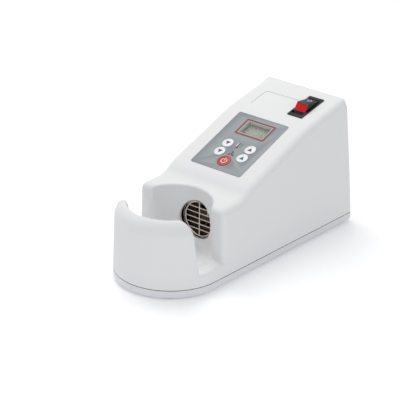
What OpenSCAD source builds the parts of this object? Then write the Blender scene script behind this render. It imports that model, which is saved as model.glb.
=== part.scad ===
// Hot-air eyeglass frame heater: a bench housing with a side-slotted warming
// cup in front and a blower, heater tube and keypad control behind it.
// Millimetres, Z up, the front of the cup faces -Y.
// Modules are drawn from the front-most point (y = 0) and the tray underside
// (z = 0); seat() moves them into the shared frame.

/* [Housing] */
// Width across the tray
body_w = 105; // [96:1:116]
// Length from the cup front to the rear wall
body_l = 260; // [250:1:275]
// Height of the base tray
tray_h = 8; // [6:0.5:10]
// Thickness of the moulded walls
wall = 2.5; // [2:0.1:3]
// Inward lean of the side walls, in degrees
side_draft = 2; // [0.5:0.1:3]
// Inward lean of the rear wall, in degrees
rear_draft = 3.5; // [1:0.1:5]
// Radius along the top side edges
edge_r = 6.6; // [4:0.1:8]

/* [Cup] */
// Radius of the warming bore
bore_r = 37.8; // [34:0.2:40]
// Height of the cup rim and of the shelf behind it
rim_z = 72; // [66:0.5:78]
// Height of the bore floor
bore_floor_z = 16; // [14:0.5:18]
// Height of the side slot sills
sill_z = 20.5; // [19:0.5:24]
// Slot edge on the cup side, at sill height
slot_y0 = 36; // [30:0.5:38]
// Slot edge on the cup side, at rim height
slot_y0_top = 31.6; // [26:0.2:35]
// Front face of the main body
slot_y1 = 66.4; // [64:0.1:70]

/* [Air outlet] */
// Height of the outlet axis
outlet_z = 41; // [38:0.5:44]
// Radius of the hole in the bore wall
outlet_hole_r = 19; // [18:0.1:20]
// Outer radius of the metal outlet tube
tube_r = 18.5; // [17:0.1:19]
// Wall of the metal outlet tube
tube_t = 0.8; // [0.6:0.1:1.2]

/* [Control panel] */
// Width of the overlay
panel_w = 60; // [56:0.5:66]
// Length of the overlay, up the slope
panel_l = 77.5; // [74:0.5:84]
// Thickness of the overlay plate
panel_t = 1; // [0.6:0.1:1.4]
// Diameter of the four arrow keys
key_d = 11; // [10:0.1:13]
// Diameter of the power key
power_d = 13.4; // [12:0.1:16]
// Travel of every key
key_travel = 0.5; // [0.3:0.1:0.8]
// Distance between the two key columns
key_pitch_x = 27; // [24:0.5:30]
// Distance between the two key rows
key_pitch_y = 12.6; // [12:0.1:14]

/* [Rocker switch] */
// Length of the switch bezel
bezel_l = 35.5; // [30:0.5:38]
// Width of the switch bezel
bezel_w = 17; // [14:0.5:18]
// Largest tilt of the rocker to either side, in degrees
rocker_tilt = 8; // [5:0.5:10]

/* [Hidden] */
$fn = 64;
eps = 0.05;
foot_h = 1.5;
half_w = body_w / 2;
part_gap = 0.2;

// Side profile of the top: shelf, riser, ramp, rear top
valley_y = 97;
knee_y = 107;
crest_y = 187.5;
shelf_slope = 2;
ramp_slope = 21.56;
rear_slope = 13.2;
top_y = body_l + 12;
valley_z = rim_z + (valley_y - slot_y1) * tan(shelf_slope);
knee_z = 81.9;
crest_z = knee_z + (crest_y - knee_y) * tan(ramp_slope);
top_z = crest_z + (top_y - crest_y) * tan(rear_slope);
top_line = [
    [slot_y1 - 90, rim_z],
    [slot_y1, rim_z],
    [valley_y, valley_z],
    [knee_y, knee_z],
    [crest_y, crest_z],
    [top_y, top_z]
];
last = len(top_line) - 1;
crest_i = 4;
crest_lap = 12;

// Panel origin: middle of the lower edge of the overlay
panel_y = 112.8;
panel_z = knee_z + (panel_y - knee_y) * tan(ramp_slope);
// Switch centre on the rear top
switch_x = 23;
switch_y = 218;
switch_z = crest_z + (switch_y - crest_y) * tan(rear_slope);
// Label pocket on the rear top
label_x0 = -30.7;
label_x1 = 10.5;
label_y0 = 200;
label_y1 = 225.5;
label_depth = 0.6;
// Height where the rear wall meets the top
rear_top_z = 128.2;

// Roundings of the cup rim, the bore mouth and the body front
rim_r = 12;
rim_inner_r = 41.2;
front_r = 7.5;

// Display window, overlay pocket and keypad board, from the panel origin
window_x = 2;
window_v = 60.6;
window_w = 27;
window_l = 15.5;
window_lap = 1.8;
window_t = 1.1;
pocket_d = 0.8;
pcb_h = 10.5;
pcb_t = 1.6;
pcb_post_places = [[-26, 4], [26, 4], [-26, 73.5], [26, 73.5]];
// Keys: middle of the four, upper row, power key, switch button
key_mid_x = 2;
key_row_v = 35.1;
power_place = [1.2, 13.1];
// Key parts: flange under the skin and stem over the switch
flange_out = 0.7;
flange_top = -wall - 0.05;
button_h = 4.6;
stem_end = -pcb_h + button_h + key_travel + 0.02;

// Case screw posts and rubber feet, right-hand side
post_places = [
    [44.6 * sin(40), half_w - 44.6 * cos(40)],
    [46, 128],
    [46, 214]
];
post_r = 4.9;
post_top_r = 3.5;
foot_places = [[24, 32], [40, 244]];
tray_floor = 2.5;

// Mains inlet and fuse on the rear wall
inlet_x = 22;
inlet_z = 52;
inlet_flange = 1.8;
inlet_screw_x = 19.5;
fuse_x = -30;
fuse_z = 52;

// Rocker: half length, ridge place and height, end height, width, pivot depth,
// trunnion, body width and well
rocker_half = 12.6;
rocker_ridge_y = -1.7;
rocker_ridge_h = 10.1;
rocker_end_h = 3.2;
rocker_w = 13.2;
pivot_n = -3;
trunnion_r = 1.5;
switch_w = 15.4;
well_w = rocker_w + 0.3;
well_half = 14.2;

// Outlet tube, grille and probe along y
tube_y0 = 90.2;
tube_y1 = 150;
grille_y = 92.3;
probe_x = 7.5;
probe_y = 95.6;
heater_y = 102;
heater_l = 36;
flange_r = 23;
flange_hole_r = 20.8;
duct_flange_t = 1.5;

// Blower: scroll, mouth and where the duct meets it
blower_x0 = -22;
blower_w = 28;
blower_y = 202;
blower_z = 64;
blower_t = 1.6;
scroll_r = 34;
duct_y = 160;
mouth_z0 = 29;
mouth_h = 27;
motor_r = 17.5;
motor_screw_r = 12;
shaft_r = 1.5;

// Upright power board
power_x = -40;
power_y0 = 106;
power_l = 58;
power_y1 = power_y0 + power_l;
power_h = 44;
power_z = 4.2;
board_t = 1.6;

function unit(v) = v / norm(v);
function run(i) = unit(top_line[i + 1] - top_line[i]);
function up(v) = [-v[1], v[0]];
function mitre(i) =
    i == 0 ? up(run(0)) :
    i == last ? up(run(last - 1)) :
    unit(up(run(i - 1)) + up(run(i)));
function stretch(i) =
    i == 0 || i == last ? 1 : 1 / (mitre(i) * up(run(i)));
function inset_point(i, d) = top_line[i] - mitre(i) * d * stretch(i);
function side_x(z, d) = half_w - d - (z - tray_h) * tan(side_draft);
function arc(cx, cy, r, a0, a1, n) =
    [for (i = [0:n]) let (a = a0 + (a1 - a0) * i / n) [cx + r * cos(a), cy + r * sin(a)]];

module seat() {
    translate([0, -body_l / 2, foot_h]) children();
}

// Extrudes a (y, z) outline across the width, centred on x = 0
module across(w) {
    rotate([90, 0, 90])
        translate([0, 0, -w / 2])
            linear_extrude(height = w) children();
}

module on_panel() {
    translate([0, panel_y, panel_z]) rotate([ramp_slope, 0, 0]) children();
}

module on_switch() {
    translate([switch_x, switch_y, switch_z]) rotate([rear_slope, 0, 0]) children();
}

module on_rear(x, z) {
    translate([x, body_l - (z - tray_h) * tan(rear_draft), z])
        rotate([-90 + rear_draft, 0, 0]) rotate([0, 0, 180]) children();
}

// Corner region outside a radius; the material lies towards -x and -y
module round_2d(r) {
    difference() {
        translate([-r, -r]) square(r + 1);
        translate([-r + eps, -r + eps]) circle(r = r);
    }
}

// Upright body of the tray outline, from z0 to z1, moved in by d
module straight_body(d, z0, z1) {
    h = z1 - z0;
    difference() {
        union() {
            translate([0, half_w, z0]) cylinder(h = h, r = half_w - d, $fn = 128);
            translate([-half_w + d, half_w, z0])
                cube([body_w - 2 * d, body_l - half_w - d, h]);
        }
        for (s = [0, 1])
            mirror([s, 0, 0])
                translate([half_w - d, body_l - d, z0 - 1])
                    linear_extrude(height = h + 2) round_2d(max(4 - d, 0.8));
    }
}

// The same outline with the walls leaning inwards above the tray
module leaning_body(d, z0, z1) {
    translate([0, half_w, z0])
        cylinder(h = z1 - z0, r1 = side_x(z0, d), r2 = side_x(z1, d), $fn = 128);
    translate([0, body_l + 10, 0])
        rotate([90, 0, 0])
            linear_extrude(height = body_l + 10 - half_w)
                polygon([
                    [-side_x(z0, d), z0], [side_x(z0, d), z0],
                    [side_x(z1, d), z1], [-side_x(z1, d), z1]
                ]);
}

// (y, z) outline under the top line moved in by d, down to z0
module top_outline(d, z0) {
    rear_0 = body_l - d - (z0 - tray_h) * tan(rear_draft);
    rear_z = rear_top_z - d;
    rear_1 = body_l - d - (rear_z - tray_h) * tan(rear_draft);
    polygon(concat(
        [for (i = [0:last - 1]) inset_point(i, d)],
        [[rear_1, inset_point(last - 1, d)[1] + (rear_1 - inset_point(last - 1, d)[0]) * tan(rear_slope)]],
        [[rear_0, z0], [inset_point(0, d)[0], z0]]
    ));
}

// One length of the rounding along the right-hand top edge. Neighbours meet
// on a mitre, except at the shallow crest, where both run on past each other.
module edge_round(i, d, r) {
    a = inset_point(i, d);
    b = inset_point(i + 1, d);
    xa = side_x(a[1], d);
    xb = side_x(b[1], d);
    long = norm([xb - xa, b[0] - a[0], b[1] - a[1]]);
    from_crest = i == crest_i;
    to_crest = i + 1 == crest_i;
    a1 = from_crest ? a - crest_lap * run(i) : a;
    b1 = to_crest ? b + crest_lap * run(i) : b;
    m0 = from_crest ? up(run(i)) : mitre(i);
    m1 = to_crest ? up(run(i)) : mitre(i + 1);
    intersection() {
        translate([xa, a[0], a[1]])
            rotate([0, 0, atan2(xa - xb, b[0] - a[0])])
                rotate([atan2(b[1] - a[1], b[0] - a[0]), 0, 0])
                    translate([0, long + 20, 0])
                        rotate([90, 0, 0])
                            linear_extrude(height = long + 40) round_2d(r);
        across(body_w + 20) polygon([a1 - 20 * m0, b1 - 20 * m1, b1 + 9 * m1, a1 + 9 * m0]);
    }
}

// Outside of the housing moved in by d, from z0 up
module form(d, z0) {
    r = edge_r - d;
    difference() {
        intersection() {
            leaning_body(d, z0, 150);
            across(body_w + 20) top_outline(d, z0);
        }
        for (s = [0, 1])
            mirror([s, 0, 0])
                for (i = [1:last - 1]) edge_round(i, d, r);
        rear_edge_round(d, r);
        for (s = [0, 1])
            mirror([s, 0, 0])
                translate([side_x(tray_h, d), body_l - d, tray_h])
                    rotate([rear_draft, -side_draft, 0])
                        translate([0, 0, -30]) linear_extrude(height = 200) round_2d(max(4 - d, 1));
    }
}

module rear_edge_round(d, r) {
    y = body_l - (rear_top_z - tray_h) * tan(rear_draft) - d;
    zt = crest_z + (y - crest_y) * tan(rear_slope) - d / cos(rear_slope);
    translate([0, y, zt])
        rotate([90, 0, 90])
            translate([0, 0, -half_w])
                linear_extrude(height = body_w)
                    rotate(rear_draft / 2 + rear_slope / 2) round_2d(r);
}

// Warming bore, opened out a little towards the rim in the cup wall; d > 0
// makes it larger
module bore(d) {
    translate([0, half_w, bore_floor_z - d]) cylinder(h = 120, r = bore_r + d, $fn = 128);
    intersection() {
        translate([0, half_w, bore_floor_z - d])
            cylinder(h = rim_z - bore_floor_z + 10, r1 = bore_r + d, r2 = rim_inner_r + d, $fn = 128);
        translate([-half_w, 0, 0]) cube([body_w, slot_y0 + 4, 150]);
    }
}

// Side slots; d > 0 makes them larger. The top front edge of the body behind
// them is rounded as part of the cut.
module slots(d) {
    r = front_r - d;
    cy = slot_y1 + d + r;
    cz = rim_z - d + (cy - slot_y1) * tan(shelf_slope) - r / cos(shelf_slope);
    across(body_w + 40)
        polygon(concat(
            [[slot_y0 - d, sill_z - d], [slot_y1 + d, sill_z - d]],
            arc(cy, cz, r, 180, 90 + shelf_slope, 8),
            [
                [cy - r * sin(shelf_slope), 140],
                [slot_y0_top - d - 0.5, 140],
                [slot_y0_top - d, rim_z]
            ]
        ));
}

// Rounding of the cup rim, kept to the front of the slots
module rim_round(d, r) {
    intersection() {
        translate([0, half_w, rim_z - d])
            rotate_extrude($fn = 128)
                translate([side_x(rim_z, d), 0]) round_2d(r);
        translate([-half_w - 10, -20, rim_z - 40]) cube([body_w + 20, half_w + 12, 60]);
    }
}

// Rounding of the front edges of the main body beside the bore
module body_front_round(d, r) {
    for (s = [0, 1])
        mirror([s, 0, 0])
            translate([side_x(sill_z, d), slot_y1 + d, sill_z - d])
                rotate([0, -side_draft, 0])
                    rotate([0, 0, -90]) linear_extrude(height = 80) round_2d(r);
}

// ---- Moulded shell ----

function key_place(i) = [
    [key_mid_x - key_pitch_x / 2, key_row_v],
    [key_mid_x + key_pitch_x / 2, key_row_v],
    [key_mid_x - key_pitch_x / 2, key_row_v - key_pitch_y],
    [key_mid_x + key_pitch_x / 2, key_row_v - key_pitch_y],
    power_place
][i];
function key_r(i) = (i == 4 ? power_d : key_d) / 2;
module both_sides() {
    for (s = [0, 1]) mirror([s, 0, 0]) children();
}

module shell_cavity() {
    difference() {
        form(wall, -1);
        bore(wall);
        slots(wall);
        rim_round(wall, rim_r - wall);
        body_front_round(wall, front_r - wall);
    }
}

module housing_block() {
    difference() {
        form(0, tray_h + part_gap);
        rim_round(0, rim_r);
        difference() {
            shell_cavity();
            // Bosses that hold the keypad board
            on_panel()
                for (p = pcb_post_places)
                    translate([p[0], p[1], -pcb_h]) cylinder(h = pcb_h, r = 3);
            // Posts that take the case screws
            both_sides()
                for (p = post_places)
                    translate([p[0], p[1], tray_h + 5]) cylinder(h = 20, r = post_r);
        }
    }
}

module upper_housing() {
    color([0.93, 0.94, 0.94]) seat() difference() {
        housing_block();
        bore(0);
        slots(0);
        body_front_round(0, front_r);
        // Rounded top corner of the cup wall at each slot
        translate([0, slot_y0_top, rim_z]) across(body_w + 20) round_2d(5);
        // Outlet hole through the bore wall
        translate([0, half_w + 20, outlet_z]) rotate([-90, 0, 0])
            cylinder(h = 30, r = outlet_hole_r);
        panel_cuts();
        switch_cut();
        label_pocket();
        rear_cuts();
        both_sides()
            for (p = post_places)
                translate([p[0], p[1], tray_h]) cylinder(h = 18, r = 1.6);
    }
}

// Block over the display window, wider all round by d, from depth n up
module window_plate(d, n, h) {
    translate([window_x - window_w / 2 - d, window_v - window_l / 2 - d, n])
        cube([window_w + 2 * d, window_l + 2 * d, h]);
}

module panel_cuts() {
    on_panel() {
        translate([-panel_w / 2 - 0.1, -0.1, -pocket_d]) cube([panel_w + 0.2, panel_l + 0.2, 10]);
        window_plate(0, -8, 10);
        window_plate(window_lap + 0.1, -pocket_d - window_t - 0.05, 4);
        for (i = [0:4])
            translate([key_place(i)[0], key_place(i)[1], -8]) cylinder(h = 10, r = key_r(i) + 0.3);
        for (p = pcb_post_places)
            translate([p[0], p[1], -pcb_h - 1]) cylinder(h = 8, r = 1.1);
    }
}

module switch_cut() {
    on_switch() translate([-switch_w / 2 - 0.2, -16, -8]) cube([switch_w + 0.4, 32, 12]);
}

module label_pocket() {
    translate([0, label_y0, crest_z + (label_y0 - crest_y) * tan(rear_slope)])
        rotate([rear_slope, 0, 0])
            translate([label_x0, 0, -label_depth])
                cube([label_x1 - label_x0, (label_y1 - label_y0) / cos(rear_slope), 5]);
}

module rear_cuts() {
    on_rear(inlet_x, inlet_z) {
        translate([-13.7, -10, -10]) cube([27.4, 20, 20]);
        for (s = [-1, 1]) translate([s * inlet_screw_x, 0, -10]) cylinder(h = 20, r = 1.6);
    }
    on_rear(fuse_x, fuse_z) translate([0, 0, -10]) cylinder(h = 20, r = 6.3);
    // Ventilation slots above the inlet
    for (i = [0:5])
        on_rear(0, 70 + i * 6) translate([-26, -1.5, -10]) cube([52, 3, 20]);
}

// ---- Base tray ----

module base_tray() {
    color([0.86, 0.88, 0.9]) seat() difference() {
        union() {
            difference() {
                straight_body(0, 0, tray_h);
                straight_body(wall, tray_floor, tray_h + 1);
            }
            // Tongue that lines up the housing
            difference() {
                straight_body(wall + 0.4, tray_floor - 0.5, tray_h + 3);
                straight_body(wall + 1.7, tray_floor - 1, tray_h + 4);
            }
            both_sides() {
                for (p = post_places)
                    translate([p[0], p[1], 0.5]) {
                        cylinder(h = tray_h - 1, r = post_r - 0.3);
                        cylinder(h = tray_h + 4, r = post_top_r);
                    }
                for (p = foot_places)
                    translate([p[0], p[1], 0.5]) cylinder(h = 4, r = 9);
            }
            // Rails that hold the power board upright
            for (y = [power_y0 - 2.2, power_y1 - 3.8])
                translate([power_x - 3.5, y, 0.5]) cube([7, 6, 16]);
            // Saddle that carries the blower
            translate([blower_x0 + 3, duct_y + 12, 0.5])
                cube([blower_w - 6, 4, mouth_z0 - 0.55]);
            translate([blower_x0 + 3, blower_y + 8, 0.5]) cube([blower_w - 6, 4, mouth_z0 + 6]);
        }
        both_sides() {
            for (p = post_places)
                translate([p[0], p[1], -1]) {
                    cylinder(h = 30, r = 1.8);
                    cylinder(h = 5, r = 3.4);
                }
            for (p = foot_places)
                translate([p[0], p[1], -1]) cylinder(h = 2.5, r = 6.6);
        }
        translate([power_x - 0.95, power_y0 - 0.2, 4]) cube([1.9, power_l + 0.4, 30]);
        // Air intake slots under the blower eye
        for (i = [0:6])
            translate([-35, 172 + i * 8, -1]) cube([13, 3.5, 4]);
        translate([0, blower_y, blower_z])
            rotate([0, 90, 0]) translate([0, 0, -60]) cylinder(h = 120, r = scroll_r + 0.4);
    }
}

module rubber_feet() {
    color([0.12, 0.12, 0.13]) seat() both_sides()
        for (p = foot_places)
            translate([p[0], p[1], -foot_h]) cylinder(h = foot_h + 1.45, r = 6.4);
}

module case_screws() {
    color([0.6, 0.61, 0.63]) seat() both_sides()
        for (p = post_places)
            translate([p[0], p[1], 1.6]) difference() {
                union() {
                    cylinder(h = 2.3, r = 2.9);
                    cylinder(h = 20, r = 1.5);
                }
                translate([0, 0, -1]) cylinder(h = 2.2, r = 1.5, $fn = 6);
            }
}

// ---- Keypad and display ----

module control_overlay() {
    color([0.6, 0.63, 0.62]) seat() on_panel() difference() {
        translate([-panel_w / 2, 0, -pocket_d + 0.02]) cube([panel_w, panel_l, panel_t]);
        window_plate(0, -2, 4);
        for (i = [0:4])
            translate([key_place(i)[0], key_place(i)[1], -2]) cylinder(h = 4, r = key_r(i) + 0.08);
    }
}

module key_body(i) {
    cap_h = 0.7 - flange_top;
    flange_t = 1.3;
    seat() on_panel() translate([key_place(i)[0], key_place(i)[1], flange_top]) {
        translate([0, 0, -eps]) cylinder(h = cap_h + eps, r = key_r(i));
        translate([0, 0, -flange_t]) cylinder(h = flange_t, r = key_r(i) + flange_out);
        translate([0, 0, stem_end - flange_top]) cylinder(h = 2, r = 1.8);
    }
}

module key_temp_down() { color([0.93, 0.93, 0.93]) key_body(0); }
module key_temp_up() { color([0.93, 0.93, 0.93]) key_body(1); }
module key_fan_down() { color([0.9, 0.93, 0.95]) key_body(2); }
module key_fan_up() { color([0.9, 0.93, 0.95]) key_body(3); }
module key_power() { color([0.75, 0.12, 0.1]) key_body(4); }

module display_window() {
    color([0.8, 0.86, 0.84, 0.5]) seat() on_panel()
        window_plate(window_lap, -pocket_d - window_t, window_t - 0.05);
}

module lcd_module() {
    color([0.62, 0.68, 0.62]) seat() on_panel() difference() {
        translate([window_x - 17, window_v - 10.5, -pcb_h + 0.1]) cube([34, 21, 6.4]);
        translate([window_x - 13.5, window_v - 7.7, -4.7]) cube([27, 15.4, 2]);
    }
}

module control_pcb() {
    color([0.1, 0.38, 0.2]) seat() on_panel() difference() {
        union() {
            translate([-28.5, 1, -pcb_h - pcb_t - 0.05]) cube([57, 75.5, pcb_t]);
            translate([-20, 42, -pcb_h - 4.1]) cube([12, 7, 2.6]);
            translate([4, 30, -pcb_h - 3.6]) cube([9, 9, 2.1]);
        }
        for (p = pcb_post_places)
            translate([p[0], p[1], -20]) cylinder(h = 20, r = 1.4);
    }
}

module pcb_screws() {
    color([0.7, 0.7, 0.72]) seat() on_panel()
        for (p = pcb_post_places)
            translate([p[0], p[1], -pcb_h - pcb_t - 0.15]) {
                cylinder(h = 6.5, r = 1);
                translate([0, 0, -1.6]) cylinder(h = 1.65, r = 2.2);
            }
}

module tact_switches() {
    color([0.15, 0.15, 0.16]) seat() on_panel()
        for (i = [0:4])
            translate([key_place(i)[0], key_place(i)[1], -pcb_h]) {
                translate([-3, -3, 0]) cube([6, 6, 3.5]);
                cylinder(h = button_h, r = 1.6);
            }
}

// ---- Rocker switch ----

module switch_body() {
    color([0.07, 0.07, 0.08]) seat() on_switch() difference() {
        union() {
            translate([-bezel_w / 2, -bezel_l / 2, 0.02]) cube([bezel_w, bezel_l, 1.1]);
            translate([-switch_w / 2, -15.5, -20]) cube([switch_w, 31, 20.1]);
            // Quick-connect blades under the body
            for (y = [-9, 0, 9])
                translate([-3.2, y - 0.4, -28]) cube([6.4, 0.8, 9]);
        }
        // Well for the rocker, with holes for its trunnions
        translate([-well_w / 2, -well_half, -12]) cube([well_w, 2 * well_half, 20]);
        translate([-well_w / 2 - 0.5, 0, pivot_n]) rotate([0, 90, 0])
            cylinder(h = well_w + 1, r = trunnion_r + 0.06);
    }
}

module rocker() {
    color([0.7, 0.08, 0.08]) seat() on_switch()
        translate([0, 0, pivot_n]) rotate([rocker_tilt, 0, 0]) {
            across(rocker_w)
                polygon([
                    [rocker_ridge_y, rocker_ridge_h], [-rocker_half, rocker_end_h],
                    [-rocker_half + 0.8, -2.2], [-3, -4.5], [3, -4.5],
                    [rocker_half - 0.8, -2.2], [rocker_half, rocker_end_h]
                ]);
            translate([-well_w / 2 - 0.4, 0, 0]) rotate([0, 90, 0])
                cylinder(h = well_w + 0.8, r = trunnion_r);
        }
}

// ---- Hot air path ----

module flange_holes() {
    for (a = [45:90:315])
        rotate(a) translate([flange_hole_r, 0, 0]) children();
}

module outlet_tube() {
    length = tube_y1 - tube_y0;
    flange_t = 1.2;
    color([0.75, 0.75, 0.77]) seat() difference() {
        translate([0, tube_y0, outlet_z]) rotate([-90, 0, 0]) difference() {
            union() {
                cylinder(h = length, r = tube_r);
                translate([0, 0, length - flange_t]) cylinder(h = flange_t, r = flange_r);
            }
            translate([0, 0, -1]) cylinder(h = length + 2, r = tube_r - tube_t);
            translate([0, 0, length - 3]) flange_holes() cylinder(h = 5, r = 0.9);
        }
        // Hole for the temperature probe
        translate([probe_x, probe_y, outlet_z]) cylinder(h = 40, r = 1.2);
    }
}

module outlet_grille() {
    r = tube_r - tube_t - 0.15;
    wire = 0.7;
    color([0.82, 0.8, 0.76]) seat() translate([0, grille_y, outlet_z]) {
        rotate([90, 0, 0]) rotate_extrude()
            translate([r - wire, 0]) circle(r = wire, $fn = 24);
        cylinder(h = 2 * (r - wire), r = wire * 0.8, center = true, $fn = 24);
        for (i = [-2:2]) {
            half = sqrt(pow(r - wire, 2) - pow(i * 5.4, 2));
            translate([0, wire * 0.5, i * 5.4]) rotate([0, 90, 0])
                cylinder(h = 2 * half, r = wire * 0.8, center = true, $fn = 24);
        }
    }
}

module mica_sleeve() {
    color([0.72, 0.66, 0.52]) seat()
        translate([0, 98, outlet_z]) rotate([-90, 0, 0]) difference() {
            cylinder(h = 44, r = tube_r - tube_t - 0.3);
            translate([0, 0, -1]) cylinder(h = 46, r = tube_r - tube_t - 1);
        }
}

module mica_former() {
    leaf_w = 27;
    leaf_t = 0.8;
    color([0.78, 0.72, 0.58]) seat()
        translate([0, heater_y, outlet_z]) rotate([-90, 0, 0]) {
            translate([-leaf_w / 2, -leaf_t / 2, 0]) cube([leaf_w, leaf_t, heater_l]);
            translate([-leaf_t / 2, -leaf_w / 2, 0]) cube([leaf_t, leaf_w, heater_l]);
            for (z = [0, heater_l - leaf_t])
                translate([0, 0, z]) difference() {
                    cylinder(h = leaf_t, r = 16.2);
                    for (a = [22.5:45:337.5])
                        rotate(a) translate([10, 0, -1]) cylinder(h = 3, r = 3);
                }
        }
}

module heater_coil() {
    turn_pitch = 5.2;
    color([0.55, 0.5, 0.48]) seat()
        translate([0, heater_y, outlet_z]) rotate([-90, 0, 0])
            for (k = [0:5])
                translate([0, 0, 5 + k * turn_pitch])
                    rotate_extrude() translate([14.2, 0]) circle(r = 0.6, $fn = 16);
}

module thermal_cutout() {
    color([0.75, 0.74, 0.7]) seat() translate([0, 128, outlet_z + tube_r + 0.1]) {
        cylinder(h = 1.2, r = 8);
        cylinder(h = 7, r = 6.2);
        for (s = [-1, 1]) translate([s * 3.2 - 0.4, -3, 6]) cube([0.8, 6, 8]);
    }
}

module temp_probe() {
    color([0.8, 0.78, 0.74]) seat() translate([probe_x, probe_y, outlet_z]) {
        translate([0, 0, 5]) cylinder(h = 20, r = 0.9);
        translate([0, 0, 4.4]) sphere(r = 1.6);
    }
}

// ---- Blower ----

module scroll(d) {
    rotate([0, 90, 0]) translate([0, 0, blower_x0 + d])
        cylinder(h = blower_w - 2 * d, r = scroll_r - d);
}

module blower_housing() {
    color([0.16, 0.17, 0.18]) seat() difference() {
        union() {
            translate([0, blower_y, blower_z]) scroll(0);
            translate([blower_x0, duct_y, mouth_z0]) cube([blower_w, blower_y - duct_y, mouth_h]);
            translate([blower_x0 - 4, duct_y, mouth_z0 - 4]) cube([blower_w + 8, 2, mouth_h + 8]);
        }
        translate([0, blower_y, blower_z]) scroll(blower_t);
        translate([blower_x0 + blower_t, duct_y - 1, mouth_z0 + blower_t])
            cube([blower_w - 2 * blower_t, blower_y - duct_y + 1, mouth_h - 2 * blower_t]);
        // Air intake eye on the left, motor opening on the right
        translate([blower_x0 - 1, blower_y, blower_z]) rotate([0, 90, 0]) cylinder(h = 5, r = 20);
        translate([blower_x0 + blower_w - 4, blower_y, blower_z])
            rotate([0, 90, 0]) cylinder(h = 6, r = 4);
        for (a = [0:90:270])
            translate([blower_x0 + blower_w - 4, blower_y, blower_z]) rotate([a, 0, 0])
                translate([0, motor_screw_r, 0]) rotate([0, 90, 0]) cylinder(h = 6, r = 1.3);
    }
}

module impeller() {
    wheel_r = 29;
    wheel_h = 21.6;
    color([0.85, 0.85, 0.83]) seat() translate([blower_x0 + 3, blower_y, blower_z]) rotate([0, 90, 0]) {
        difference() {
            cylinder(h = blower_t, r = wheel_r);
            translate([0, 0, -1]) cylinder(h = 4, r = 20.5);
        }
        difference() {
            union() {
                translate([0, 0, wheel_h - blower_t]) cylinder(h = blower_t, r = wheel_r);
                translate([0, 0, 9]) cylinder(h = wheel_h - 9, r = 5);
            }
            translate([0, 0, 8]) cylinder(h = wheel_h, r = shaft_r + 0.05);
        }
        for (k = [0:23])
            rotate(k * 15) translate([21.5, 0, 1]) rotate(35)
                translate([0, -0.5, 0]) cube([8, 1, wheel_h - 1.6]);
    }
}

module on_motor() {
    translate([blower_x0 + blower_w + 0.2, blower_y, blower_z]) rotate([0, 90, 0]) children();
}

module fan_motor() {
    color([0.6, 0.61, 0.62]) seat() on_motor() {
        difference() {
            cylinder(h = 30, r = motor_r);
            for (a = [0:90:270])
                rotate(a) translate([motor_screw_r, 0, -1]) cylinder(h = 7, r = 1.3);
        }
        translate([0, 0, 29]) cylinder(h = 4, r = 5);
        translate([0, 0, -16]) cylinder(h = 17, r = shaft_r);
    }
}

module motor_screws() {
    color([0.7, 0.7, 0.72]) seat() on_motor()
        for (a = [0:90:270])
            rotate(a) translate([motor_screw_r, 0, -blower_t - 1.25]) {
                cylinder(h = 1, r = 2);
                cylinder(h = 6.5, r = 1.2);
            }
}

module duct_screws() {
    color([0.7, 0.7, 0.72]) seat() translate([0, tube_y1 - 2.6, outlet_z]) rotate([-90, 0, 0])
        flange_holes() {
            cylinder(h = 1.3, r = 1.5);
            cylinder(h = 4.6, r = 0.8);
        }
}

module air_duct() {
    wall_d = 1.4;
    color([0.35, 0.36, 0.38]) seat() difference() {
        union() {
            translate([0, tube_y1 + 0.2, outlet_z]) rotate([-90, 0, 0])
                cylinder(h = duct_flange_t, r = flange_r);
            duct_skin(0);
        }
        duct_skin(wall_d);
        translate([0, tube_y1 - 1, outlet_z]) rotate([-90, 0, 0]) {
            cylinder(h = 3, r = 16.8);
            flange_holes() cylinder(h = 3, r = 0.9, $fn = 24);
        }
    }
}

module duct_skin(d) {
    e = d > 0 ? 1 : 0;
    hull() {
        translate([0, tube_y1 + 0.2 - e, outlet_z]) rotate([-90, 0, 0])
            cylinder(h = 1 + e, r = 18.2 - d, $fn = 48);
        translate([blower_x0 + d, duct_y - 1.2, mouth_z0 + d])
            cube([blower_w - 2 * d, 1 + e, mouth_h - 2 * d]);
    }
}

module heater_bracket() {
    sheet = 1.2;
    foot_z = tray_floor + 0.1;
    color([0.7, 0.71, 0.73]) seat() translate([0, 112, 0]) difference() {
        union() {
            translate([-24, 0, foot_z]) cube([48, sheet, outlet_z - foot_z]);
            translate([-24, 0, foot_z]) cube([48, 12, sheet]);
            translate([0, 0, outlet_z]) rotate([-90, 0, 0]) cylinder(h = sheet, r = 24);
        }
        translate([0, -1, outlet_z]) rotate([-90, 0, 0]) cylinder(h = 4, r = tube_r + 0.1);
        translate([-30, -1, outlet_z + 12]) cube([60, 4, 30]);
    }
}

// ---- Electrics ----

module power_board() {
    face = board_t;
    color([0.12, 0.36, 0.2]) seat() translate([power_x - board_t / 2, power_y0, power_z]) {
        cube([board_t, power_l, power_h]);
        // Relay, capacitor and terminal block
        translate([face, 33, 14]) cube([13, 15, 18]);
        translate([face, 13, 30]) cube([10, 14, 10]);
        translate([face, 50, 24]) cube([8, 6, 16]);
    }
}

module transformer() {
    color([0.85, 0.7, 0.2]) seat()
        translate([power_x + board_t / 2 + 0.1, power_y0 + 8, 20]) {
            cube([3.1, 22, 13]);
            translate([3, 2, 0]) cube([9, 18, 13]);
        }
}

module triac_heatsink() {
    fin_pitch = 2.8;
    color([0.3, 0.31, 0.33]) seat()
        translate([power_x + board_t / 2 + 0.1, power_y0 + 7, 37]) {
            cube([10, 1.5, 11]);
            for (k = [0:3]) translate([k * fin_pitch, 1.4, 0]) cube([1.2, 4, 11]);
        }
}

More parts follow.
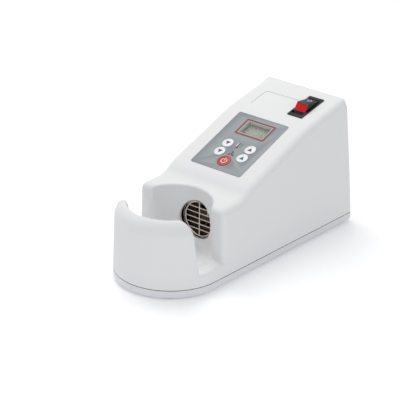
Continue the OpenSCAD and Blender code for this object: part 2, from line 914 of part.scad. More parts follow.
module power_inlet() {
    color([0.09, 0.09, 0.1]) seat() on_rear(inlet_x, inlet_z) difference() {
        union() {
            translate([-24.5, -11.3, 0.05]) cube([49, 22.6, inlet_flange]);
            translate([-13.4, -9.7, -16]) cube([26.8, 19.4, 16.1]);
        }
        translate([-12, -8, -12]) cube([24, 16, 20]);
        for (s = [-1, 1])
            translate([s * inlet_screw_x, 0, 0]) {
                translate([0, 0, -1]) cylinder(h = 6, r = 1.6);
                translate([0, 0, inlet_flange - 1.1]) cylinder(h = 3, r = 3);
            }
    }
}

module inlet_pins() {
    color([0.8, 0.78, 0.7]) seat() on_rear(inlet_x, inlet_z)
        for (p = [[-7, -2], [7, -2], [0, 2]])
            translate([p[0] - 1, p[1] - 2, -12]) cube([2, 4, 10]);
}

module inlet_screws() {
    color([0.7, 0.7, 0.72]) seat() on_rear(inlet_x, inlet_z)
        for (s = [-1, 1])
            translate([s * inlet_screw_x, 0, inlet_flange - 1]) {
                cylinder(h = 1, r = 2.8);
                translate([0, 0, -8]) cylinder(h = 8.5, r = 1.5);
            }
}

module fuse_holder() {
    cap_r = 6;
    color([0.08, 0.08, 0.09]) seat() on_rear(fuse_x, fuse_z) difference() {
        union() {
            translate([0, 0, 0.05]) cylinder(h = inlet_flange, r = 8);
            translate([0, 0, -22]) cylinder(h = 22.5, r = cap_r);
        }
        // Seam round the cap and the slot that turns it
        translate([0, 0, 1]) difference() {
            cylinder(h = 3, r = cap_r + 0.5);
            translate([0, 0, -1]) cylinder(h = 5, r = cap_r);
        }
        translate([-0.6, -7, 0.8]) cube([1.2, 14, 3]);
    }
}

upper_housing();
base_tray();
rubber_feet();
case_screws();
control_overlay();
display_window();
lcd_module();
control_pcb();
pcb_screws();
tact_switches();
key_temp_down();
key_temp_up();
key_fan_down();
key_fan_up();
key_power();
switch_body();
rocker();
outlet_tube();
outlet_grille();
mica_sleeve();
mica_former();
heater_coil();
thermal_cutout();
temp_probe();
heater_bracket();
air_duct();
duct_screws();
blower_housing();
impeller();
fan_motor();
motor_screws();
power_board();
transformer();
triac_heatsink();
power_inlet();
inlet_pins();
inlet_screws();
fuse_holder();
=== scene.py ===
import math

import bpy
import numpy as np
from mathutils import Matrix, Vector


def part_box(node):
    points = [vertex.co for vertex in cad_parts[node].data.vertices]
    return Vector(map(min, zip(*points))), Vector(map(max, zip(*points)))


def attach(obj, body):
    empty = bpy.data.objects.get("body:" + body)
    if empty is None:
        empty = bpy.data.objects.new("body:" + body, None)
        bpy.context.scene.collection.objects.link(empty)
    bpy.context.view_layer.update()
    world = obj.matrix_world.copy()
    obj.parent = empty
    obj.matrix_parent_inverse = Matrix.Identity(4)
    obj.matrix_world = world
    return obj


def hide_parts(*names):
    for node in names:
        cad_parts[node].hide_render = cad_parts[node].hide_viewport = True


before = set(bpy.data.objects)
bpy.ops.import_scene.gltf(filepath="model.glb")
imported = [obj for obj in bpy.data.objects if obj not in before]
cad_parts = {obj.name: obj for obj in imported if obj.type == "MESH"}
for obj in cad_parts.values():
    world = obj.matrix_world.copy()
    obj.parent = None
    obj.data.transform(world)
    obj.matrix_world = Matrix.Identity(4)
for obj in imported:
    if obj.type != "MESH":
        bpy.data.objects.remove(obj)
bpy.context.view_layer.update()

# ---- Shared measures, in millimetres from the cup front and the tray underside ----

MM = 0.001
tray_lo, tray_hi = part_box("base_tray")
FRONT_Y = tray_lo.y / MM
BASE_Z = tray_lo.z / MM
HALF_W = tray_hi.x / MM
BODY_L = (tray_hi.y - tray_lo.y) / MM
TRAY_H = 8.0
SPLIT_Z = 8.5
WALL = 2.5
SIDE_DRAFT = math.radians(2.0)
REAR_DRAFT = math.radians(3.5)
# Cup: rim, bore and the slot through each side
RIM_Z = 72.0
BORE_R = 38.0
BORE_FLOOR_Z = 16.0
SILL_Z = 20.7
SLOT_Y0, SLOT_Y0_TOP, SLOT_Y1 = 36.0, 31.6, 66.4
# Side profile of the top
SHELF = math.radians(2.0)
RISER = math.radians(38.0)
RAMP = math.radians(21.56)
REAR_TOP = math.radians(13.2)
REAR_CHAMFER = math.radians(59.0)
KNEE_Y, KNEE_Z = 107.0, 81.9
CREST_Y = 187.5
CREST_Z = KNEE_Z + (CREST_Y - KNEE_Y) * math.tan(RAMP)
CHAMFER_Y = 247.5
CHAMFER_Z = CREST_Z + (CHAMFER_Y - CREST_Y) * math.tan(REAR_TOP)
# Edge roundings
FLOOR_R = 5.0
NOSE_R = 5.0
EDGE_R, REAR_EDGE_DROP = 6.6, 2.4
BASE_EDGE_R = 2.6
BASE_BLEND_R = 1.6
REAR_CORNER_R, REAR_CORNER_GAIN = 4, 2.0
# Places on the top and on the rear wall
PANEL_Y = 112.8
PANEL_Z = KNEE_Z + (PANEL_Y - KNEE_Y) * math.tan(RAMP)
SWITCH_X, SWITCH_Y = 23.0, 218.0
SWITCH_Z = CREST_Z + (SWITCH_Y - CREST_Y) * math.tan(REAR_TOP)
LABEL_Y = 200
LABEL_Z = CREST_Z + (LABEL_Y - CREST_Y) * math.tan(REAR_TOP)
OUTLET_Z = 41.0
OUTLET_HOLE_R = 18.9
INLET_X, FUSE_X, REAR_Z = 22, -30, 52
VENT_Z, VENT_PITCH, VENT_COUNT = 70, 6, 6


def to_frame(points):
    """Millimetres from the cup front to metres in the shared frame."""
    p = np.asarray(points, float)
    return (p + np.array([0.0, FRONT_Y, BASE_Z])) * MM


def seat_matrix(origin, tilt=0.0):
    """Matrix that puts a mesh drawn in millimetres at origin, turned about X by tilt."""
    o = Vector(to_frame([origin])[0])
    return Matrix.Translation(o) @ Matrix.Rotation(tilt, 4, "X") @ Matrix.Scale(MM, 4)


PANEL = seat_matrix((0, PANEL_Y, PANEL_Z), RAMP)
SWITCH = seat_matrix((SWITCH_X, SWITCH_Y, SWITCH_Z), REAR_TOP)


def rear_matrix(x, z):
    """Matrix for pieces on the rear wall: local +Z points out, +Y up."""
    o = Vector(to_frame([(x, BODY_L - (z - TRAY_H) * math.tan(REAR_DRAFT), z)])[0])
    turn = Matrix.Rotation(-math.pi / 2 + REAR_DRAFT, 4, "X") @ Matrix.Rotation(math.pi, 4, "Z")
    return Matrix.Translation(o) @ turn @ Matrix.Scale(MM, 4)


# ---- Rounded solids as distance fields ----


def round_max(a, b, r):
    """Intersection of two solids with its edge rounded to radius r."""
    u = np.maximum(a + r, 0)
    v = np.maximum(b + r, 0)
    return np.minimum(np.maximum(a, b), -r) + np.hypot(u, v)


def round_min(a, b, r):
    return -round_max(-a, -b, r)


def soft_max(a, b, k):
    return np.maximum(a, b) + np.maximum(k - np.abs(a - b), 0) ** 2 / (4 * k)


def ease(t):
    t = np.clip(t, 0, 1)
    return t * t * (3 - 2 * t)


def side_half(z):
    return HALF_W - (z - TRAY_H) * math.tan(SIDE_DRAFT)


def plan_field(x, y, z):
    """Leaning side and rear walls with a half-round front."""
    across = np.where(y < HALF_W, np.hypot(x, y - HALF_W), np.abs(x))
    side = (across - side_half(z)) * math.cos(SIDE_DRAFT)
    rear = (y - BODY_L + (z - TRAY_H) * math.tan(REAR_DRAFT)) * math.cos(REAR_DRAFT)
    return round_max(side, rear, REAR_CORNER_R + REAR_CORNER_GAIN * ease((z - 40) / 80))


def slope_field(y, z, y0, z0, angle):
    return (z - z0 - (y - y0) * math.tan(angle)) * math.cos(angle)


def top_field(y, z):
    """Shelf, riser, control slope, rear top and its rear chamfer with soft bends."""
    shelf = slope_field(y, z, SLOT_Y1, RIM_Z, SHELF)
    high = soft_max(
        slope_field(y, z, KNEE_Y, KNEE_Z, RISER), slope_field(y, z, KNEE_Y, KNEE_Z, RAMP), 1.6
    )
    high = soft_max(high, slope_field(y, z, CREST_Y, CREST_Z, REAR_TOP), 1.3)
    high = soft_max(high, slope_field(y, z, CHAMFER_Y, CHAMFER_Z, -REAR_CHAMFER), 1.0)
    return -soft_max(-shelf, -high, 4.2)


def bore_field(x, y, z):
    wall = np.hypot(x, y - HALF_W) - BORE_R
    return round_max(wall, BORE_FLOOR_Z - z, FLOOR_R)


def block_field(x, y, z):
    """The whole housing before it is hollowed, cut and split from the tray."""
    plan = plan_field(x, y, z)
    cup_rim = round_max(plan / 10.0, (z - RIM_Z) / 14.0, 1.0) * 10.0
    slot_y = SLOT_Y0 + (SLOT_Y0_TOP - SLOT_Y0) * (z - SILL_Z) / (RIM_Z - SILL_Z)
    cup = round_max(cup_rim, y - slot_y, 2.4 + 3.0 * ease((z - 56) / 14))
    edge = EDGE_R - REAR_EDGE_DROP * ease((y - 236) / 14)
    body = round_max(plan, top_field(y, z), edge)
    body = round_max(body, SLOT_Y1 - y, NOSE_R)
    base = round_max(plan, z - SILL_Z, BASE_EDGE_R)
    both = np.minimum(cup, body)
    whole = np.maximum(round_min(both, base, BASE_BLEND_R), plan)
    # The bore's edge is full at the front rim, crisp on the shelf, full on the slot's rear face
    lip = 4.2 - 2.4 * ease((y - 30) / 30)
    lip = lip + 3.6 * ease((64 - z) / 12) * ease((y - 54) / 8) * ease((84 - y) / 8)
    return round_max(whole, -bore_field(x, y, z), lip)


def surface_net(field, low, high, step):
    """Quad mesh of the surface where field is 0.

    Each grid cell that the surface crosses gets one point, which is then moved onto the
    surface along the field's slope.
    """
    axes = [np.arange(a, b + step, step) for a, b in zip(low, high)]
    grid = np.meshgrid(*axes, indexing="ij", sparse=True)
    value = np.array(np.broadcast_to(field(*grid), [len(a) for a in axes]), np.float32)
    inside = value < 0
    count = sum(
        inside[i : i - 1 or None, j : j - 1 or None, k : k - 1 or None].astype(np.int8)
        for i in (0, 1)
        for j in (0, 1)
        for k in (0, 1)
    )
    active = (count > 0) & (count < 8)
    index = np.full(active.shape, -1, np.int64)
    index[active] = np.arange(active.sum())
    cell = np.argwhere(active)
    total = np.zeros((len(cell), 3))
    hits = np.zeros(len(cell))
    for axis in range(3):
        others = [a for a in range(3) if a != axis]
        for corner in ((0, 0), (0, 1), (1, 0), (1, 1)):
            a = np.zeros(3, int)
            a[others[0]], a[others[1]] = corner
            b = a.copy()
            b[axis] = 1
            va = value[tuple((cell + a).T)]
            vb = value[tuple((cell + b).T)]
            cross = (va < 0) != (vb < 0)
            t = np.where(cross, va / np.where(cross, va - vb, 1), 0)
            total += cross[:, None] * (a + t[:, None] * (b - a))
            hits += cross
    points = np.array(low) + (cell + total / hits[:, None]) * step
    for _ in range(3):
        here = field(*points.T)
        slope = np.stack(
            [
                (field(*(points + d).T) - field(*(points - d).T)) / 0.1
                for d in np.eye(3) * 0.05
            ],
            axis=1,
        )
        move = slope * (here / np.maximum((slope**2).sum(1), 0.05))[:, None]
        points -= np.clip(move, -step, step)
    quads = []
    for axis in range(3):
        turn = np.diff(inside.astype(np.int8), axis=axis)
        edge = np.argwhere(turn)
        sign = turn[tuple(edge.T)]
        p, q = (axis + 1) % 3, (axis + 2) % 3
        ring = []
        for dp, dq in ((1, 1), (0, 1), (0, 0), (1, 0)):
            c = edge.copy()
            c[:, p] -= dp
            c[:, q] -= dq
            ring.append(index[tuple(c.T)])
        quad = np.stack(ring, axis=1)
        quad[sign > 0] = quad[sign > 0][:, ::-1]
        quads.append(quad)
    return points, np.vstack(quads)


# ---- Mesh helpers ----


def link(name, mesh):
    obj = bpy.data.objects.new(name, mesh)
    bpy.context.scene.collection.objects.link(obj)
    return obj


def mesh_object(name, points, faces, matrix=None):
    """Object from points in millimetres; without a matrix they are from the cup front."""
    mesh = bpy.data.meshes.new(name)
    if matrix is None:
        coords = to_frame(points)
    else:
        coords = [matrix @ Vector(p) for p in points]
    mesh.from_pydata([tuple(c) for c in coords], [], [tuple(map(int, f)) for f in faces])
    mesh.update()
    return link(name, mesh)


def prism(outline, n0, n1):
    """Points and faces of a flat outline (counter-clockwise) raised from n0 to n1."""
    n = len(outline)
    points = [(x, y, n0) for x, y in outline] + [(x, y, n1) for x, y in outline]
    sides = [(i, (i + 1) % n, (i + 1) % n + n, i + n) for i in range(n)]
    return points, [tuple(range(n))[::-1], tuple(range(n, 2 * n))] + sides


def circle(cx, cy, r, n=48, a0=0.0, a1=360.0):
    full = a1 - a0 >= 360
    steps = n if full else n + 1
    angles = [math.radians(a0 + (a1 - a0) * i / n) for i in range(steps)]
    return [(cx + r * math.cos(a), cy + r * math.sin(a)) for a in angles]


def rounded_box(x0, y0, x1, y1, r, n=6):
    out = []
    for cx, cy, a0 in (
        (x1 - r, y0 + r, -90),
        (x1 - r, y1 - r, 0),
        (x0 + r, y1 - r, 90),
        (x0 + r, y0 + r, 180),
    ):
        out += circle(cx, cy, r, n, a0, a0 + 90)
    return out


def join_shapes(shapes):
    """One list of points and faces from several."""
    points, faces = [], []
    for p, f in shapes:
        base = len(points)
        points += [tuple(q) for q in p]
        faces += [tuple(i + base for i in face) for face in f]
    return points, faces


def placed(shape, matrix):
    return [tuple(matrix @ Vector(p)) for p in shape[0]], shape[1]


def metre_object(name, shape):
    mesh = bpy.data.meshes.new(name)
    mesh.from_pydata(shape[0], [], shape[1])
    mesh.update()
    return link(name, mesh)


def apply_modifiers(obj):
    graph = bpy.context.evaluated_depsgraph_get()
    mesh = bpy.data.meshes.new_from_object(obj.evaluated_get(graph))
    obj.modifiers.clear()
    old = obj.data
    obj.data = mesh
    bpy.data.meshes.remove(old)


def cut(obj, cutter, solver="MANIFOLD", operation="DIFFERENCE"):
    mod = obj.modifiers.new("cut", "BOOLEAN")
    mod.operation = operation
    mod.object = cutter
    mod.solver = solver
    apply_modifiers(obj)
    bpy.data.objects.remove(cutter)


def shade(obj, angle=35.0):
    """Smooth faces with the edges sharper than angle kept crisp."""
    mesh = obj.data
    mesh.polygons.foreach_set("use_smooth", [True] * len(mesh.polygons))
    mesh.set_sharp_from_angle(angle=math.radians(angle))
    mesh.update()


def bevel(obj, width, segments=3, angle=30.0):
    """Rounds the sharp edges by width millimetres."""
    mod = obj.modifiers.new("bevel", "BEVEL")
    mod.width = width * MM
    mod.segments = segments
    mod.limit_method = "ANGLE"
    mod.angle_limit = math.radians(angle)
    mod.use_clamp_overlap = True
    apply_modifiers(obj)
    shade(obj, 40)


def from_node(node, name):
    """A welded copy of a CAD node's mesh that stands for it."""
    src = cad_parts[node]
    obj = link(name, src.data.copy())
    mod = obj.modifiers.new("weld", "WELD")
    mod.merge_threshold = 2e-6
    apply_modifiers(obj)
    obj.data.materials.clear()
    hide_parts(node)
    return obj


def finish_piece(obj, body, slot, *materials):
    for m in materials:
        obj.data.materials.append(m)
    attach(obj, body)
    return obj


# ---- Materials ----


def new_material(name):
    mat = bpy.data.materials.new(name)
    mat.use_nodes = True
    tree = mat.node_tree
    tree.nodes.clear()
    out = tree.nodes.new("ShaderNodeOutputMaterial")
    bsdf = tree.nodes.new("ShaderNodeBsdfPrincipled")
    tree.links.new(bsdf.outputs["BSDF"], out.inputs["Surface"])
    return mat, tree, bsdf


def noise(tree, scale, detail=4.0, rough=0.55, stretch=None):
    coord = tree.nodes.new("ShaderNodeTexCoord")
    tex = tree.nodes.new("ShaderNodeTexNoise")
    tex.inputs["Scale"].default_value = scale
    tex.inputs["Detail"].default_value = detail
    tex.inputs["Roughness"].default_value = rough
    if stretch is None:
        tree.links.new(coord.outputs["Object"], tex.inputs["Vector"])
    else:
        mapping = tree.nodes.new("ShaderNodeMapping")
        mapping.inputs["Scale"].default_value = stretch
        tree.links.new(coord.outputs["Object"], mapping.inputs["Vector"])
        tree.links.new(mapping.outputs["Vector"], tex.inputs["Vector"])
    return tex


def ramp(tree, socket, stops):
    node = tree.nodes.new("ShaderNodeValToRGB")
    while len(node.color_ramp.elements) < len(stops):
        node.color_ramp.elements.new(0.5)
    for element, (pos, color) in zip(node.color_ramp.elements, stops):
        element.position = pos
        element.color = (*color, 1.0)
    tree.links.new(socket, node.inputs["Fac"])
    return node


def span(tree, socket, low, high):
    node = tree.nodes.new("ShaderNodeMapRange")
    node.inputs["To Min"].default_value = low
    node.inputs["To Max"].default_value = high
    tree.links.new(socket, node.inputs["Value"])
    return node


def plastic(
    name, light, dark, rough=0.32, spread=0.08, grain=2200.0, bump=0.05, coat=0.0, shine=0.5
):
    """Moulded plastic: faint tone drift, handling smudges and a fine grain."""
    mat, tree, bsdf = new_material(name)
    drift = noise(tree, 9.0, 3.0)
    tone = ramp(tree, drift.outputs["Fac"], [(0.3, dark), (0.7, light)])
    tree.links.new(tone.outputs["Color"], bsdf.inputs["Base Color"])
    smudge = noise(tree, 38.0, 6.0, 0.6)
    level = span(tree, smudge.outputs["Fac"], rough - spread, rough + spread)
    tree.links.new(level.outputs["Result"], bsdf.inputs["Roughness"])
    fine = noise(tree, grain, 2.0)
    lift = tree.nodes.new("ShaderNodeBump")
    lift.inputs["Strength"].default_value = bump
    lift.inputs["Distance"].default_value = 0.0002
    tree.links.new(fine.outputs["Fac"], lift.inputs["Height"])
    tree.links.new(lift.outputs["Normal"], bsdf.inputs["Normal"])
    bsdf.inputs["Coat Weight"].default_value = coat
    bsdf.inputs["Coat Roughness"].default_value = 0.12
    bsdf.inputs["Specular IOR Level"].default_value = shine
    return mat


def metal(name, light, dark, rough=0.25, spread=0.1, stretch=(40, 400, 400), bump=0.08):
    """Metal with lines drawn along one direction and patchy roughness."""
    mat, tree, bsdf = new_material(name)
    lines = noise(tree, 6.0, 5.0, 0.6, stretch)
    tone = ramp(tree, lines.outputs["Fac"], [(0.3, dark), (0.7, light)])
    tree.links.new(tone.outputs["Color"], bsdf.inputs["Base Color"])
    bsdf.inputs["Metallic"].default_value = 1.0
    patch = noise(tree, 120.0, 4.0)
    level = span(tree, patch.outputs["Fac"], rough - spread, rough + spread)
    tree.links.new(level.outputs["Result"], bsdf.inputs["Roughness"])
    lift = tree.nodes.new("ShaderNodeBump")
    lift.inputs["Strength"].default_value = bump
    lift.inputs["Distance"].default_value = 0.0002
    tree.links.new(lines.outputs["Fac"], lift.inputs["Height"])
    tree.links.new(lift.outputs["Normal"], bsdf.inputs["Normal"])
    return mat


def clear_plastic(name, color, rough=0.08):
    """Thin clear sheet: a faint reflecting skin with a little haze."""
    mat, tree, bsdf = new_material(name)
    haze = noise(tree, 160.0, 4.0)
    lighter = tuple(min(1, c * 1.04) for c in color)
    tone = ramp(tree, haze.outputs["Fac"], [(0.3, color), (0.7, lighter)])
    tree.links.new(tone.outputs["Color"], bsdf.inputs["Base Color"])
    level = span(tree, haze.outputs["Fac"], rough * 0.6, rough * 1.6)
    tree.links.new(level.outputs["Result"], bsdf.inputs["Roughness"])
    bsdf.inputs["Alpha"].default_value = 0.06
    return mat


WHITE = plastic(
    "white_abs", (0.87, 0.872, 0.875), (0.845, 0.85, 0.857), 0.3, 0.06, 2600, 0.03, 0.15
)
TRAY = plastic("tray_abs", (0.74, 0.755, 0.775), (0.71, 0.73, 0.75), 0.32, 0.07, 2600, 0.03, 0.1)
GREY = plastic("overlay_grey", (0.235, 0.26, 0.278), (0.218, 0.242, 0.26), 0.36, 0.06, 3000, 0.06)
PALE = plastic("overlay_pale", (0.27, 0.29, 0.265), (0.245, 0.265, 0.245), 0.36, 0.05)
PRINT_RED = plastic("print_red", (0.25, 0.018, 0.016), (0.2, 0.014, 0.013), 0.4, 0.05, shine=0.3)
PRINT_TEAL = plastic("print_teal", (0.012, 0.09, 0.17), (0.01, 0.07, 0.14), 0.4, 0.05, shine=0.3)
PRINT_MAROON = plastic(
    "print_maroon", (0.27, 0.012, 0.03), (0.21, 0.01, 0.024), 0.4, 0.05, shine=0.3
)
PRINT_DARK = plastic("print_dark", (0.03, 0.035, 0.04), (0.02, 0.024, 0.028), 0.4, 0.05, shine=0.3)
PRINT_CREAM = plastic("print_cream", (0.86, 0.7, 0.6), (0.8, 0.62, 0.52), 0.4, 0.05)
LCD = plastic(
    "lcd_green", (0.27, 0.285, 0.2), (0.245, 0.26, 0.18), 0.35, 0.05, 1800, 0.02, shine=0.3
)
LCD_DARK = plastic("lcd_segment", (0.225, 0.25, 0.185), (0.205, 0.23, 0.17), 0.35, 0.05, shine=0.3)
KEY_WHITE = plastic("key_white", (0.78, 0.8, 0.82), (0.72, 0.75, 0.78), 0.36, 0.07, 1500, 0.05)
KEY_RED = plastic(
    "key_red", (0.46, 0.012, 0.01), (0.37, 0.01, 0.008), 0.34, 0.07, 1500, 0.04, 0.05, 0.35
)
BLACK = plastic(
    "black_plastic", (0.012, 0.012, 0.013), (0.006, 0.006, 0.007), 0.42, 0.1, 1800, 0.08, shine=0.22
)
BLACK_GLOSS = plastic(
    "black_gloss", (0.01, 0.01, 0.012), (0.005, 0.005, 0.006), 0.24, 0.08, 1800, 0.03, 0.1, 0.3
)
WHITE_MARK = plastic("mark_white", (0.85, 0.85, 0.85), (0.75, 0.75, 0.75), 0.4, 0.06)
RUBBER = plastic("rubber", (0.03, 0.03, 0.031), (0.018, 0.018, 0.019), 0.75, 0.12, 900, 0.25)
BOARD = plastic("board_green", (0.03, 0.17, 0.07), (0.02, 0.12, 0.05), 0.35, 0.1, 500, 0.1)
MICA = plastic("mica", (0.15, 0.09, 0.05), (0.06, 0.035, 0.025), 0.4, 0.15, 300, 0.3, shine=0.3)
# Painted shade: dark grey for the tray's tongue inside the parting seam
PAINTED_SEAM_SHADE = plastic(
    "painted_seam_shade", (0.09, 0.09, 0.095), (0.05, 0.05, 0.055), 0.7, 0.1, 900, 0.1, shine=0.1
)
DUCT = plastic("duct_black", (0.05, 0.05, 0.053), (0.03, 0.03, 0.033), 0.42, 0.1, 1200, 0.1)
WHEEL = plastic("wheel_white", (0.62, 0.62, 0.6), (0.5, 0.5, 0.48), 0.5, 0.1)
YELLOW = plastic("tape_yellow", (0.6, 0.42, 0.06), (0.5, 0.33, 0.04), 0.4, 0.1, 400, 0.1)
STEEL = metal("steel", (0.62, 0.62, 0.63), (0.46, 0.46, 0.47), 0.3, 0.1)
WIRE = metal("wire_steel", (0.86, 0.8, 0.74), (0.66, 0.6, 0.55), 0.28, 0.1, (300, 300, 300))
CHROME = metal(
    "tube_chrome", (0.5, 0.47, 0.45), (0.16, 0.14, 0.14), 0.16, 0.06, (300, 12, 300), 0.05
)
HEATER = metal(
    "heater_wire", (0.3, 0.17, 0.15), (0.12, 0.07, 0.07), 0.45, 0.15, (300, 300, 300), 0.2
)
BRASS = metal("pin_brass", (0.76, 0.6, 0.3), (0.6, 0.46, 0.22), 0.25, 0.1, (300, 300, 300))
HEATSINK = metal("heatsink", (0.1, 0.1, 0.11), (0.06, 0.06, 0.065), 0.45, 0.12)
CLEAR = clear_plastic("clear_window", (0.96, 0.98, 0.97))


def rocker_red():
    """Tinted translucent plastic with a faint painted red glow from a weak emission."""
    mat, tree, bsdf = new_material("rocker_red")
    drift = noise(tree, 60.0, 4.0)
    stops = [(0.3, (0.42, 0.006, 0.006)), (0.7, (0.62, 0.014, 0.01))]
    tone = ramp(tree, drift.outputs["Fac"], stops)
    tree.links.new(tone.outputs["Color"], bsdf.inputs["Base Color"])
    level = span(tree, drift.outputs["Fac"], 0.12, 0.26)
    tree.links.new(level.outputs["Result"], bsdf.inputs["Roughness"])
    bsdf.inputs["Specular IOR Level"].default_value = 0.25
    # Painted glow: weak red emission, not a lamp
    bsdf.inputs["Emission Color"].default_value = (1.0, 0.02, 0.015, 1)
    bsdf.inputs["Emission Strength"].default_value = 0.05
    return mat


RED_CLEAR = rocker_red()

# ---- Upper housing ----

# Places on the panel: the four arrow keys, the power key and the window
KEY_CENTRES = [(-11.5, 35.1), (15.5, 35.1), (-11.5, 22.5), (15.5, 22.5), (1.2, 13.1)]
KEY_R = [5.5, 5.5, 5.5, 5.5, 6.7]
WINDOW = (-11.5, 52.85, 15.5, 68.35)
WINDOW_LAP = 1.9


def box_shape(x0, y0, z0, x1, y1, z1):
    return prism([(x0, y0), (x1, y0), (x1, y1), (x0, y1)], z0, z1)


def housing_cutters():
    """Every opening of the housing, in metres, none touching another."""
    x0, v0, x1, v1 = WINDOW
    panel = [box_shape(x0, v0, -8, x1, v1, 3)]
    for centre, r in zip(KEY_CENTRES, KEY_R):
        panel.append(prism(circle(*centre, r + 0.3), -8, 3))
    shapes = [placed(s, PANEL) for s in panel]
    shapes.append(placed(box_shape(-7.9, -16, -12, 7.9, 16, 6), SWITCH))
    label = seat_matrix((0, LABEL_Y, LABEL_Z), REAR_TOP)
    outline = rounded_box(-30.7, 0, 10.5, 26.1, 3.2)
    shapes.append(placed(prism(outline, -0.6, 4), label))
    outlet = seat_matrix((0, HALF_W + 20, OUTLET_Z), -math.pi / 2)
    shapes.append(placed(prism(circle(0, 0, OUTLET_HOLE_R, 96), 0, 30), outlet))
    inlet = rear_matrix(INLET_X, REAR_Z)
    shapes.append(placed(box_shape(-13.7, -10, -9, 13.7, 10, 8), inlet))
    for s in (-1, 1):
        shapes.append(placed(prism(circle(s * 19.5, 0, 1.6, 20), -9, 8), inlet))
    shapes.append(placed(prism(circle(0, 0, 6.3), -9, 8), rear_matrix(FUSE_X, REAR_Z)))
    for i in range(VENT_COUNT):
        slot = rounded_box(-26, -1.5, 26, 1.5, 1.45, 5)
        shapes.append(placed(prism(slot, -9, 8), rear_matrix(0, VENT_Z + i * VENT_PITCH)))
    return metre_object("cutters", join_shapes(shapes))


def build_housing():
    """The shell: solid form, hollowed, cut off above the tray and pierced."""
    step = 0.9
    hollow_step = 3.0
    outer_z, inner_z = 3.0, 4.5
    low = (-HALF_W - 1.7, -1.9, 1.2)
    high = (HALF_W + 2.5, BODY_L + 3.0, 130.5)

    def outer(x, y, z):
        return np.maximum(block_field(x, y, z), outer_z - z)

    def inner(x, y, z):
        return np.maximum(block_field(x, y, z) + WALL, inner_z - z)

    obj = mesh_object("housing", *surface_net(outer, low, high, step))
    hollow = mesh_object("hollow", *surface_net(inner, low, high, hollow_step))
    cut(obj, hollow)
    below = [to_frame([(x, y, z)])[0] for x, y, z in ((-80, -20, -20), (80, 290, SPLIT_Z))]
    cut(obj, metre_object("below", box_shape(*below[0], *below[1])))
    cut(obj, housing_cutters())
    x0, v0, x1, v1 = WINDOW
    lap = WINDOW_LAP
    rebate = box_shape(x0 - lap, v0 - lap, -1.95, x1 + lap, v1 + lap, -0.8)
    cut(obj, metre_object("window_rebate", placed(rebate, PANEL)))
    shade(obj, 32)
    return obj


housing = build_housing()
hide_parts("upper_housing")
finish_piece(housing, "case", "white_housing", WHITE)

# ---- Base tray: the CAD tray inside a form with rounded edges ----


def tray_form():
    """Closed form with a rounded foot edge and a step in at the parting line."""
    foot_r = 3.0
    profile = []
    for degrees in range(0, 91, 15):
        a = math.radians(degrees)
        profile.append((foot_r - foot_r * math.sin(a), foot_r - foot_r * math.cos(a)))
    profile += [(0.0, TRAY_H - 0.5), (0.12, TRAY_H - 0.15), (0.45, TRAY_H)]
    profile += [(2.2, TRAY_H), (2.2, 20.0)]
    rings = []
    for inset, z in profile:
        r = HALF_W - inset
        ring = [(x, HALF_W + y) for x, y in circle(0, 0, r, 96, 180, 360)]
        corner = max(4.0 - inset, 0.5)
        ring += circle(r - corner, BODY_L - inset - corner, corner, 8, 0, 90)
        ring += circle(-r + corner, BODY_L - inset - corner, corner, 8, 90, 180)
        rings.append([(x, y, z) for x, y in ring])
    n = len(rings[0])
    points = [p for ring in rings for p in ring]
    faces = [tuple(range(n))[::-1], tuple(range((len(rings) - 1) * n, len(rings) * n))]
    for k in range(len(rings) - 1):
        for i in range(n):
            j = (i + 1) % n
            faces.append((k * n + i, k * n + j, (k + 1) * n + j, (k + 1) * n + i))
    return mesh_object("tray_form", points, faces)


tray = from_node("base_tray", "tray")
cut(tray, tray_form(), "EXACT", "INTERSECT")
shade(tray, 30)
finish_piece(tray, "case", "grey_tray", TRAY, PAINTED_SEAM_SHADE)
# Painted shade: the tongue above the parting line gets a dark grey material in place of real shade
# in the seam
seam_z = to_frame([(0, 0, TRAY_H - 0.1)])[0][2]
for poly in tray.data.polygons:
    poly.material_index = 1 if poly.center.z > seam_z else 0

# ---- Control overlay with its printed graphics ----

OVERLAY_TOP = 0.22


def ring_shape(outer, inner, n0, n1):
    """A raised band between two outlines with the same number of points."""
    n = len(outer)
    points = [(x, y, n1) for x, y in outer] + [(x, y, n1) for x, y in inner]
    points += [(x, y, n0) for x, y in outer] + [(x, y, n0) for x, y in inner]
    faces = []
    for i in range(n):
        j = (i + 1) % n
        faces.append((i, j, j + n, i + n))
        faces.append((i + 2 * n, i + 3 * n, j + 3 * n, j + 2 * n))
        faces.append((i, i + 2 * n, j + 2 * n, j))
        faces.append((i + n, j + n, j + 3 * n, i + 3 * n))
    return points, faces


def build_overlay():
    sheet = prism(rounded_box(-29.9, 0.1, 29.9, 77.4, 2.2, 8), -0.06, OVERLAY_TOP)
    plate = metre_object("overlay", placed(sheet, PANEL))
    x0, v0, x1, v1 = WINDOW
    holes = [prism(rounded_box(x0, v0, x1, v1, 0.6, 4), -3, 3)]
    for centre, r in zip(KEY_CENTRES, KEY_R):
        holes.append(prism(circle(*centre, r + 0.12, 64), -3, 3))
    cut(plate, metre_object("holes", placed(join_shapes(holes), PANEL)), "EXACT")
    bevel(plate, 0.07, 2, 50)
    return plate


overlay = build_overlay()
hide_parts("control_overlay")
finish_piece(overlay, "case", "panel_grey", GREY)


def printed(name, shapes, material, matrix=PANEL, body="case", slot="panel_grey"):
    obj = metre_object(name, placed(join_shapes(shapes), matrix))
    return finish_piece(obj, body, slot, material)


